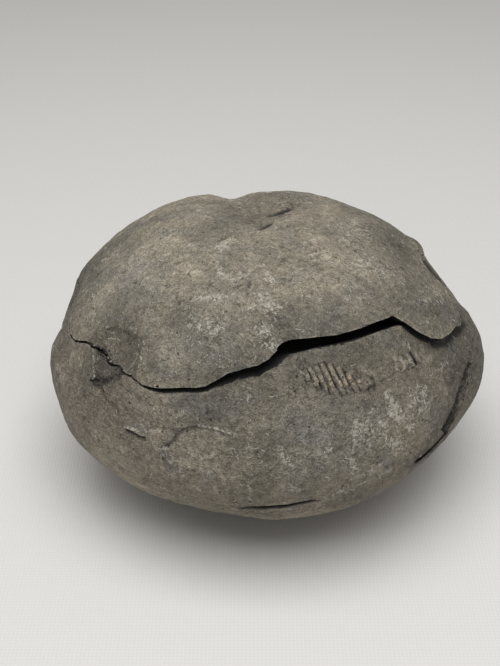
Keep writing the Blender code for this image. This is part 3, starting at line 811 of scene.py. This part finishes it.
CAP_MARKS = {"dark": (
    # painted shade in the pits of the top's valley and along its wrinkles
    (1, 0.9, ((0.5, 6.6, 62.9), (2.3, 7.7, 62.8), (4.4, 9.8, 62.5))),
    (0.8, 0.6, ((5.1, 10.5, 62.4), (5.6, 13.3, 62))), (0.8, 0.9, ((-1.8, -0.1, 62.9), (-0.3, 1.1, 63))),
    (1.2, 0.4, ((2.8, -0.6, 63.1), (5.2, 0.5, 63))), (0.8, 0.6, CAP_PITS[0]), (0.5, 0.6, CAP_PITS[2]),
    (0.5, 0.5, CAP_PITS[1]), *((0.5, 0.4, path) for path in CAP_WRINKLES),
    (0.8, 1, ((0.8, 6.8, 62.9), (4.6, 10, 62.4))), (1.6, 0.45, ((0.8, 6.8, 62.9), (4.6, 10, 62.4))),
    (0.5, 1, ((-1.6, 0, 62.9), (0.4, 1.8, 63))), (1.2, 0.45, ((-1.6, 0, 62.9), (0.4, 1.8, 63))),
), "pale": (
    (1.3, 0.9, ((-10.6, -7.7, 62.2), (-9.1, -6.4, 62.5))),
    (0.6, 0.9, ((-10.9, -12.8, 61.4), (-10.5, -15.9, 60.8), (-8.5, -17.9, 60.5), (-6.7, -18.4, 60.6),
     (-4.8, -17.4, 60.9))), (0.7, 0.8, ((-17.2, -5.2, 61.4), (-15.9, -5.3, 61.7))),
    (1.2, 0.6, ((-14, -21.7, 58.3), (-11.6, -22.3, 58.6), (-8.7, -23, 58.8))),
    (1.2, 0.6, ((-4.8, -26.1, 57.9), (-2.8, -24.9, 58.5))),
    (1.6, 0.6, ((-15.1, -27.4, 55.6), (-12, -28.4, 55.7), (-10.6, -29.6, 55.3))),
    (0.9, 0.9, ((-0.3, -17.6, 61), (0.7, -19.2, 60.6))), (1.8, 0.6, ((-1.6, -23.9, 58.9), (1, -26.2, 57.9))),
    (1.8, 0.5, ((-1.2, -30.4, 55.8), (-0, -32.9, 53.9))), (0.5, 0.9, ((17.8, 0.2, 61.2), (18.4, -0.4, 61))),
    (0.4, 0.7, ((7.8, -6.4, 62.5), (9.4, -5, 62.5), (10.7, -3.5, 62.4))),
    (1.6, 0.6, ((18.7, -11.1, 59.7), (21.2, -9.7, 59.2), (23.8, -10.5, 58.2))),
    (0.35, 0.6, ((32.9, -14, 52.8), (35.2, -12.5, 51.7), (36.8, -10.7, 50.8))),
    (0.3, 0.45, ((-25.8, -27.5, 51.1), (-26.1, -29.3, 49.9), (-26.1, -30.9, 48.6), (-26.7, -32.5, 46.9))),
), "brown": (
    (5.5, 0.7, ((-4.5, 17, 60.5), (-1.5, 6, 62.5))), (3.5, 0.7, ((0.5, 5, 62.8), (5, 10, 62.3))),
    (6, 0.3, ((-0.6, 8.2, 62.5), (13, 9.8, 61.7))),
), "grey": (
    (5, 0.7, ((-30.2, -5.6, 56.7), (-27.2, -15.3, 56.1))),
    (4, 0.6, ((-18.1, -30.9, 52.5), (-11, -34.1, 52.3))), (4, 0.5, ((7, -28.9, 56), (12.2, -26.7, 56.3))),
), "beige": (
    (1.5, 1, ((-7.8, -13.9, 61.6), (-5.7, -15.3, 61.4))), (1, 1, ((-3.6, -12.1, 62.2), (-3.2, -13.7, 61.9))),
    (1.6, 0.8, ((-22.1, 15.3, 59.7), (-19.3, 15.8, 60.3))),
    (1.5, 0.7, ((-15.9, 12.4, 61.4), (-13, 14.8, 61.3))),
    (1.2, 0.9, ((-25.8, -4.1, 58.8), (-24.5, -3.3, 59.4))),
    (1.4, 0.7, ((14.3, -17.9, 59.1), (16.2, -17.7, 58.7))),
    (1.6, 0.5, ((11.6, -17.5, 59.8), (10, -20.6, 59.2))), (1.3, 0.7, ((40.7, -8.7, 47.3), (42.3, -8, 45.6))),
    (5, 0.7, ((-11.1, -23.1, 58.4), (-6, -23.8, 58.8))),
    (5, 0.5, ((-22.8, -17.2, 57.2), (-17.5, -17.7, 58.7))), (6, 0.5, ((14.1, 8.5, 61.7), (17.2, 4.4, 61.2))),
    (5, 0.5, ((28.4, -7.8, 56.7), (30.3, -11.5, 55))), (2, 0.7, ((-43.1, -10.6, 45.6), (-41.4, -15.1, 45.9))),
    (8, 0.6, ((16.3, -8.6, 60.8), (24.5, -14.8, 57))),
)}
STROKE_REACH = 2.2  # in radii
# the narrow grooves get painted shade along them:
NARROW = 0.5  # a groove with less than this half-width is shaded, ...
SHADE_WIDTH = 1.15  # ... over this much of its half-width, ...
FULL_SHADE_DEPTH = 0.35  # ... in full from this depth on
CARVED_SHADE = 0.9


def paint(piece, name, strokes):
    points, facing = skin(piece)
    values = read_attribute(piece, name)
    for radius, strength, path in strokes:
        near, distance, _ = from_path(points, facing, path, STROKE_REACH * radius * MM)
        values[near] = np.maximum(values[near], strength * bell(distance, radius * MM))
    write_attribute(piece, name, values)


for piece, marks, grooves in ((base, BASE_MARKS, BASE_GROOVES), (cap, CAP_MARKS, CAP_GROOVES)):
    for name, strokes in marks.items():
        paint(piece, name, strokes)
    # painted shade along the narrow grooves, the deeper the darker
    paint(piece, "dark", [(SHADE_WIDTH * half_width, CARVED_SHADE * min(1, depth / FULL_SHADE_DEPTH), path)
                          for path, half_width, depth in grooves if half_width < NARROW and depth > 0])
    print(piece.name, "painted:", {name: len(strokes) for name, strokes in marks.items()})

# %% [markdown]
# ## The walls of the crack
#
# Weathering has moved the two walls of the crack, each along its own normals, and here and there
# one came through the other. The points that did are drawn back until they clear it. The crack
# is also painted dark inside, as painted shade. A ray from each point along its normal tells how
# near the other piece is, and that becomes one more attribute, which the stone's material turns
# into painted shade.

# %% Clear and mark the walls of the crack
INSIDE_REACH = 13 * MM
CLEARANCE = 0.12 * MM
CLEAR_REACH = 2 * MM
RAY_START = 0.1 * MM


def hits(piece, other, lift, reach):
    """Casts a ray along each point's normal, from a lifted start, and tells what it meets of the other."""
    tree = BVHTree.FromPolygons([vertex.co for vertex in other.data.vertices],
                                [tuple(face.vertices) for face in other.data.polygons])
    for number, (point, normal) in enumerate(zip(*skin(piece))):
        normal = Vector(normal)
        start = Vector(point) + normal * lift
        _, wall, _, distance = tree.ray_cast(start, normal, reach)
        if distance is not None:
            yield number, start, normal, wall, distance


def keep_clear(piece, other):
    """Moves the points that came through the other piece's skin back to just short of it."""
    points = places(piece)
    moved = []
    for number, start, normal, wall, distance in hits(piece, other, -CLEAR_REACH, CLEAR_REACH + CLEARANCE):
        if wall.dot(normal) < 0:
            points[number] = start + normal * (distance - CLEARANCE)
            moved.append(CLEAR_REACH + CLEARANCE - distance)
    set_places(piece, points)
    most = round(max(moved, default=0) / MM, 2)
    print(piece.name, "drew back at", len(moved), "points, by", most, "mm at most")


def mark_inside(piece, other):
    """Writes how near the other piece is in front of each point, from 0 out of reach to 1 touching."""
    inside = np.zeros(len(piece.data.vertices))
    for number, _, _, _, distance in hits(piece, other, RAY_START, INSIDE_REACH):
        inside[number] = 1 - distance / INSIDE_REACH
    write_attribute(piece, "inside", inside)
    print(piece.name, "has", int((inside > 0).sum()), "points in the crack")


keep_clear(base, cap)
keep_clear(cap, base)
mark_inside(base, cap)
mark_inside(cap, base)

# %% [markdown]
# ## The stone's material
#
# Grey-brown mudstone is mottled at every scale: broad beige and olive clouds, cooler grey
# patches, sandy grain, pale curly fossil crumbs and small black pits. Each layer is a noise of
# its own size in millimetres on the object's own coordinates, so the pattern stays put on
# the stone. The two pieces share one recipe, but the base is darker than the cap, which is
# painted shade: the base's sides face away from the light above.

# %% Build the mudstone
PALE = (0.46, 0.435, 0.38)
CHIP = (0.125, 0.107, 0.082)
PAINTED = {  # tint, and how much of it a painted mark lays on
    "beige": ((0.27, 0.238, 0.182), 0.75), "grey": ((0.150, 0.145, 0.132), 0.8),
    "brown": ((0.175, 0.142, 0.104), 0.85),
}
EDGE_DARKENING_REACH = 14 * MM
RIM_WIDTH = 0.45 * MM
# painted light: the light bounced up from the pale cloth, painted into the stone's colour
FLOOR_BOUNCE_REACH = (0.014, 0.038)  # the stone is paler near the ground, in metres above it
FLOOR_BOUNCE_LIGHT = 1.65
BUMP_HEIGHT = 0.55 * MM


def stone_material(name, olive, beige, grey, *, shade, edge_darkening, rim, lime_share, chip_shade):
    """One recipe for all the stone. Sizes are in millimetres, and a ramp's numbers say from where to where
    it runs, and between which ends. Layers with different shifts don't share a pattern."""
    stone = bpy.data.materials.new(name)
    stone.use_nodes = True
    net = Builder(stone.node_tree)
    times, ramp, maths, mixed = net.times, net.ramp, net.maths, net.mixed
    where = net.spot()

    def shifted(shift):
        return net.first("ShaderNodeVectorMath", {0: where, 1: (shift, shift, shift)})

    def speckle(size, detail=2.0, twist=0.0, shift=0.0):
        return net.first("ShaderNodeTexNoise", {"Vector": shifted(shift), "Scale": 1 / (size * MM),
                                                "Detail": detail, "Distortion": twist})

    def grains(size, radius, rarity, shift=0.0):
        """Round grains in some cells of a pattern, the fewer the higher the rarity."""
        cells = net.grow("ShaderNodeTexVoronoi", {"Vector": shifted(shift), "Scale": 1 / (size * MM)})
        dice = net.first("ShaderNodeSeparateColor", {0: cells.outputs["Color"]})
        return times(ramp(cells.outputs["Distance"], radius, 0.5 * radius), ramp(dice, rarity, rarity + 0.01))

    def veins(pattern, width):
        """Thin lines where a pattern crosses its middle value."""
        return ramp(maths("ABSOLUTE", maths("SUBTRACT", pattern, 0.5)), width, 0.006)

    def painted(label):
        return net.grow("ShaderNodeAttribute", attribute_name=label).outputs["Fac"]

    def ragged(label, pattern, swing):
        """A painted mark with a border broken up by a pattern."""
        return maths("ADD", painted(label), ramp(pattern, 0.3, 0.7, -swing, swing))

    def stained(colour, tint, share):
        return mixed(colour, (*(shade * part for part in tint), 1), share)

    def shaded(colour, value, low, high, bottom, top):
        return net.scaled(colour, ramp(value, low, high, bottom, top))

    clouds = speckle(17, 5.0, 0.6)
    patches = speckle(7, 5.0, 0.8, 0.3)
    sand = speckle(1.1, 4.0)
    grain = speckle(0.32, 2.0, 0.0, 0.1)
    colour = mixed((*olive, 1), (*beige, 1), ramp(clouds, 0.36, 0.66))
    colour = mixed(colour, (*grey, 1), ramp(patches, 0.5, 0.72, 0.0, 0.6))
    for label, (tint, share) in PAINTED.items():
        colour = stained(colour, tint, times(painted(label), ramp(patches, 0.3, 0.6, 0.4, share)))
    colour = stained(colour, CHIP, times(painted("chip"), 0.8))
    colour = shaded(colour, painted("chip"), 0.0, 1.0, 1.0, chip_shade)
    scuffs = speckle(3.4, 6.0, 1.0, 2.1)
    colour = shaded(colour, scuffs, 0.56, 0.63, 1.0, 1.28)
    colour = shaded(colour, scuffs, 0.44, 0.36, 1.0, 0.74)
    colour = shaded(colour, sand, 0.25, 0.75, 0.68, 1.32)
    colour = shaded(colour, grain, 0.25, 0.75, 0.5, 1.55)
    # darker towards the sharp edges, within this reach of them
    colour = shaded(colour, painted("edge_distance"), 0.0, EDGE_DARKENING_REACH, edge_darkening, 1.0)
    # painted light from the pale cloth below: the stone is painted paler near the ground
    above_ground = net.grow("ShaderNodeSeparateXYZ", {0: where}).outputs["Z"]
    colour = shaded(colour, above_ground, *FLOOR_BOUNCE_REACH, FLOOR_BOUNCE_LIGHT, 1.0)

    crumbs = times(grains(0.62, 0.32, 0.55), ramp(speckle(6, 4.0, 0.5, 0.7), 0.44, 0.6))
    threads = times(veins(speckle(2.6, 1.5, 1.2, 0.5), 0.016), ramp(speckle(2.2, 2.0, 0.0, 0.9), 0.54, 0.6))
    lime = ramp(ragged("pale", speckle(0.8, 5.0, 0.8, 0.2), 0.85), 0.45, 0.95)
    colour = stained(colour, PALE, times(crumbs, 0.6))
    colour = stained(colour, PALE, times(threads, 0.42))
    colour = stained(colour, PALE, times(lime, ramp(painted("pale"), 0.02, 0.15), lime_share))

    scratches = times(veins(speckle(3.1, 2.0, 1.6, 1.3), 0.02), ramp(speckle(2.0, 2.0, 0.0, 1.7), 0.53, 0.6))
    colour = shaded(colour, scratches, 0.0, 1.0, 1.0, 0.6)
    edge = ramp(painted("edge_distance"), 0.0, RIM_WIDTH, rim, 0.0)
    colour = stained(colour, PALE, times(edge, ramp(sand, 0.45, 0.6)))
    pits = grains(2.4, 0.13, 0.6, 0.4)
    colour = shaded(colour, pits, 0.0, 1.0, 1.0, 0.35)
    # painted shade from the dark strokes, in slits, grooves, pits and hollows and under the cap's edges
    hollows = ramp(ragged("dark", speckle(0.9, 4.0, 0.5, 1.1), 0.35), 0.1, 0.6, 0.35, 1.2)
    hollows = times(painted("dark"), hollows)
    colour = shaded(colour, hollows, 0.0, 1.0, 1.0, 0.1)
    # painted shade inside the crack: the nearer the other piece, the darker
    colour = shaded(colour, painted("inside"), 0.22, 0.6, 1.0, 0.03)

    height = maths("ADD", sand, times(grain, 0.45))
    height = maths("ADD", height, ramp(scuffs, 0.54, 0.6, 0.0, 0.3))
    height = maths("ADD", height, times(maths("SUBTRACT", maths("ADD", crumbs, threads), scratches), 0.25))
    height = maths("SUBTRACT", height, times(pits, 0.7))
    bump = net.first("ShaderNodeBump", {"Height": height, "Strength": 1.0, "Distance": BUMP_HEIGHT})
    connect(stone, {"Base Color": colour, "Roughness": ramp(sand, 0.3, 0.7, 0.97, 0.78), "Normal": bump})
    return stone


cap_stone = stone_material("mudstone_cap", (0.112, 0.101, 0.076), (0.238, 0.208, 0.157),
                           (0.138, 0.131, 0.117), shade=0.9, edge_darkening=0.62, rim=0.3, lime_share=0.6,
                           chip_shade=1.0)
# painted shade: the base's colours are darker than the cap's, for the shade on its sides
base_stone = stone_material("mudstone_base", (0.091, 0.081, 0.062), (0.176, 0.153, 0.115),
                            (0.110, 0.105, 0.095), shade=0.75, edge_darkening=0.8, rim=0.12, lime_share=0.7,
                            chip_shade=0.55)
print("materials:", cap_stone.name, base_stone.name)

# %% [markdown]
# ## Lay the ribs
#
# All that shows of the ammonite is a short row of ribs, the outer edge of one whorl, where the
# stone has worn down to the shell. They repeat along an arc, one between each pair of grooves,
# so Geometry Nodes lays them: a host mesh carries one edge for each rib. Each edge is wrapped
# onto the stone and swept with a round section, which tapers at both ends and lies mostly sunk
# in the stone, so that only a low crest shows.

# %% Build the rib tree
RIB_RADIUS = 0.5 * MM
RIB_SINK = 0.24 * MM
RIB_POINTS = 13
RIB_SIDES = 10
RIB_TAPER = 0.4  # the lower, the blunter the ends
FAINT_SIZE = 0.55
GREY_END = (0.008, 0.012)  # where the row turns from grey to tan, in metres along X
FAINT_START = 0.022
FAINT_GREY = 0.8


def between(grooves):
    """One rib between each pair of neighbouring grooves, and one beside each end of the row."""
    rows = np.array(grooves) * MM
    return [1.5 * rows[0] - 0.5 * rows[1], *(0.5 * (rows[:-1] + rows[1:])), 1.5 * rows[-1] - 0.5 * rows[-2]]


def tube(net, curve, sides, radius):
    """Sweeps a round section along a curve."""
    section = net.first("GeometryNodeCurvePrimitiveCircle", {"Resolution": sides, "Radius": radius})
    return net.first("GeometryNodeCurveToMesh", {"Curve": curve, "Profile Curve": section, "Fill Caps": True})


def finished(net, geometry, material):
    """Ends a tree: turns copies into real geometry and gives it a material."""
    whole = net.first("GeometryNodeRealizeInstances", {0: geometry})
    coated = net.first("GeometryNodeSetMaterial", {"Geometry": whole, "Material": material})
    net.grow("NodeGroupOutput", {0: coated})
    return net.tree


def rib_tree(material):
    net, given = new_tree("whorl ribs", "Radius", "Sink", Stone="NodeSocketObject")
    host = net.grow("GeometryNodeObjectInfo", {"Object": given["Stone"]}).outputs["Geometry"]
    nearest = net.first("GeometryNodeProximity", {0: host}, target_element="FACES")
    normal = net.first("GeometryNodeInputNormal")
    facing = net.first("GeometryNodeSampleNearestSurface", {"Mesh": host, "Value": normal},
                       data_type="FLOAT_VECTOR")
    lines = net.first("GeometryNodeMeshToCurve", {"Mesh": given["Geometry"]})
    fine = net.first("GeometryNodeResampleCurve", {"Curve": lines, "Count": RIB_POINTS})
    down = net.scaled(facing, net.times(given["Sink"], -1.0))
    wrapped = net.first("GeometryNodeSetPosition", {"Geometry": fine, "Position": nearest, "Offset": down})
    along = net.grow("GeometryNodeSplineParameter").outputs["Factor"]
    taper = net.maths("POWER", net.maths("SINE", net.times(along, math.pi)), RIB_TAPER)
    thick = net.first("GeometryNodeSetCurveRadius",
                      {"Curve": wrapped, "Radius": net.times(taper, field(net, "size"))})
    return finished(net, tube(net, thick, RIB_SIDES, given["Radius"]), material)


rib_stone = stone_material("shell_rib", (0.16, 0.136, 0.098), (0.27, 0.225, 0.158), (0.2, 0.173, 0.13),
                           shade=0.85, edge_darkening=1.0, rim=0.0, lime_share=0.0, chip_shade=1.0)
ribs = linked("whorl_ribs", bpy.data.meshes.new("whorl_ribs"))
rib_lines = between(RIB_GROOVES) + between(FAINT_GROOVES)
rib_sizes = [1.0] * (len(RIB_GROOVES) + 1) + [FAINT_SIZE] * (len(FAINT_GROOVES) + 1)
ribs.data.from_pydata([tuple(end) for line in rib_lines for end in line],
                      [(2 * number, 2 * number + 1) for number in range(len(rib_lines))], [])
write_attribute(ribs, "size", np.repeat(rib_sizes, 2))
run_tree(ribs, rib_tree(rib_stone), {"Stone": base, "Radius": RIB_RADIUS, "Sink": RIB_SINK})
across = places(ribs)[:, 0]
greyness = np.where(across > FAINT_START, FAINT_GREY, 1 - smooth_step(*GREY_END, across))
write_attribute(ribs, "grey", greyness)
write_attribute(ribs, "edge_distance", np.full(len(ribs.data.vertices), 1.0))  # no edge is near
ribs.data.shade_smooth()
print("whorl_ribs:", len(rib_lines), "ribs,", len(ribs.data.polygons), "faces")

# %% [markdown]
# ## Scatter the fossil crumbs
#
# The skin is littered with thin curled crumbs of shell, up to a millimetre long, which stand out
# pale. They follow a rule too: points are scattered over the stone with a fixed seed, thinned
# by a noise into clusters, and each point gets a small bent sliver, turned at random around
# the normal, scaled at random and sunk to half its thickness.

# %% Build the crumb tree
CRUMBS = {"stone_base": (300000.0, 11), "stone_cap": (650000.0, 23)}  # per square metre, and the seed
CRUMB_LENGTH = 1.0 * MM
CRUMB_RADIUS = 0.085 * MM
CRUMB_BEND = 0.16  # of its length
CRUMB_SIZES = (0.25, 1.0)
CRUMB_CROWDING = 4.0  # how much denser they lie in the pale patches
CLUSTER_SIZE = 7 * MM
FULL_TURN = 6.283
HUE_SIZE = 1.5 * MM


def crumb_tree(material):
    net, given = new_tree("fossil crumbs", "Density", "Crowding", "Length", "Radius", Seed="NodeSocketInt")

    def dice(low, high):
        return net.grow("FunctionNodeRandomValue", {"Min": low, "Max": high, "Seed": given["Seed"]},
                        data_type="FLOAT").outputs[1]

    open_air = net.ramp(field(net, "inside"), 0.0, 0.05, 1.0, 0.0)
    clusters = net.first("ShaderNodeTexNoise", {"Scale": 1 / CLUSTER_SIZE, "Detail": 2.0})
    crowded = net.maths("MULTIPLY_ADD", field(net, "pale"), given["Crowding"],
                        net.ramp(clusters, 0.5, 0.68, 0.03, 1.0))
    off_edge = net.maths("GREATER_THAN", field(net, "edge_distance"), given["Length"])
    density = net.times(crowded, open_air, off_edge, given["Density"])
    spread = net.grow("GeometryNodeDistributePointsOnFaces",
                      {"Mesh": given["Geometry"], "Density": density, "Seed": given["Seed"]})
    spin = net.first("FunctionNodeAxisAngleToRotation", {"Axis": (0, 0, 1), "Angle": dice(0.0, FULL_TURN)})
    pose = net.first("FunctionNodeRotateRotation", {0: spread.outputs["Rotation"], 1: spin},
                     rotation_space="LOCAL")
    half = net.times(given["Length"], 0.5)
    start = net.first("ShaderNodeCombineXYZ", {0: net.times(half, -1.0)})
    middle = net.first("ShaderNodeCombineXYZ", {1: net.times(given["Length"], CRUMB_BEND)})
    end = net.first("ShaderNodeCombineXYZ", {0: half})
    arc = net.first("GeometryNodeCurveQuadraticBezier",
                    {"Resolution": 4, "Start": start, "Middle": middle, "End": end})
    laid = net.first("GeometryNodeInstanceOnPoints",
                     {"Points": spread.outputs["Points"], "Instance": tube(net, arc, 3, given["Radius"]),
                      "Rotation": pose, "Scale": dice(*CRUMB_SIZES)})
    return finished(net, laid, material)


shell = plain_material("shell_crumb", (0.36, 0.34, 0.30), 0.6)
shell_net = Builder(shell.node_tree)
lot = shell_net.first("ShaderNodeTexNoise",
                      {"Vector": shell_net.spot(), "Scale": 1 / HUE_SIZE, "Detail": 2.0})
hue = shell_net.mixed((0.22, 0.2, 0.165, 1), (0.44, 0.42, 0.37, 1), shell_net.ramp(lot, 0.35, 0.65))
connect(shell, {"Base Color": hue})
scatter = crumb_tree(shell)
crumbs = {}
for piece in (base, cap):
    density, seed = CRUMBS[piece.name]
    crumbs[piece] = linked(piece.name.replace("stone", "crumbs"), piece.data.copy())
    run_tree(crumbs[piece], scatter, {"Density": density, "Crowding": CRUMB_CROWDING, "Length": CRUMB_LENGTH,
                                      "Radius": CRUMB_RADIUS, "Seed": seed})
    print(crumbs[piece].name, "has", len(crumbs[piece].data.polygons), "faces")

# %% [markdown]
# ## Hand over to the frame
#
# Both fine skins stand for their solids, and ride on the nodule's one body. Every piece is clipped
# to the solids' box, because the skin has to stay the size of the solids. The solids' sizes are
# printed when they are loaded, and their box at the end.

# %% Hide the solids, clip the pieces and hang them on the nodule's body
CRISP = math.radians(55)
solid_low, solid_high = (np.array(corner) for corner in cad_box)
for piece, node, stone in ((base, "nodule_base", base_stone), (cap, "nodule_cap", cap_stone)):
    set_places(piece, np.clip(places(piece), solid_low, solid_high))
    piece.data.shade_smooth()
    piece.data.set_sharp_from_angle(angle=CRISP)
    piece.data.materials.clear()
    piece.data.materials.append(stone)
    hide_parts(node)
    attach(piece, "root")
for piece, node in ((ribs, "nodule_base"), (crumbs[base], "nodule_base"), (crumbs[cap], "nodule_cap")):
    set_places(piece, np.clip(places(piece), solid_low, solid_high))
    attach(piece, "root")

print("solids:", [[round(value / MM, 2) for value in corner] for corner in cad_box])
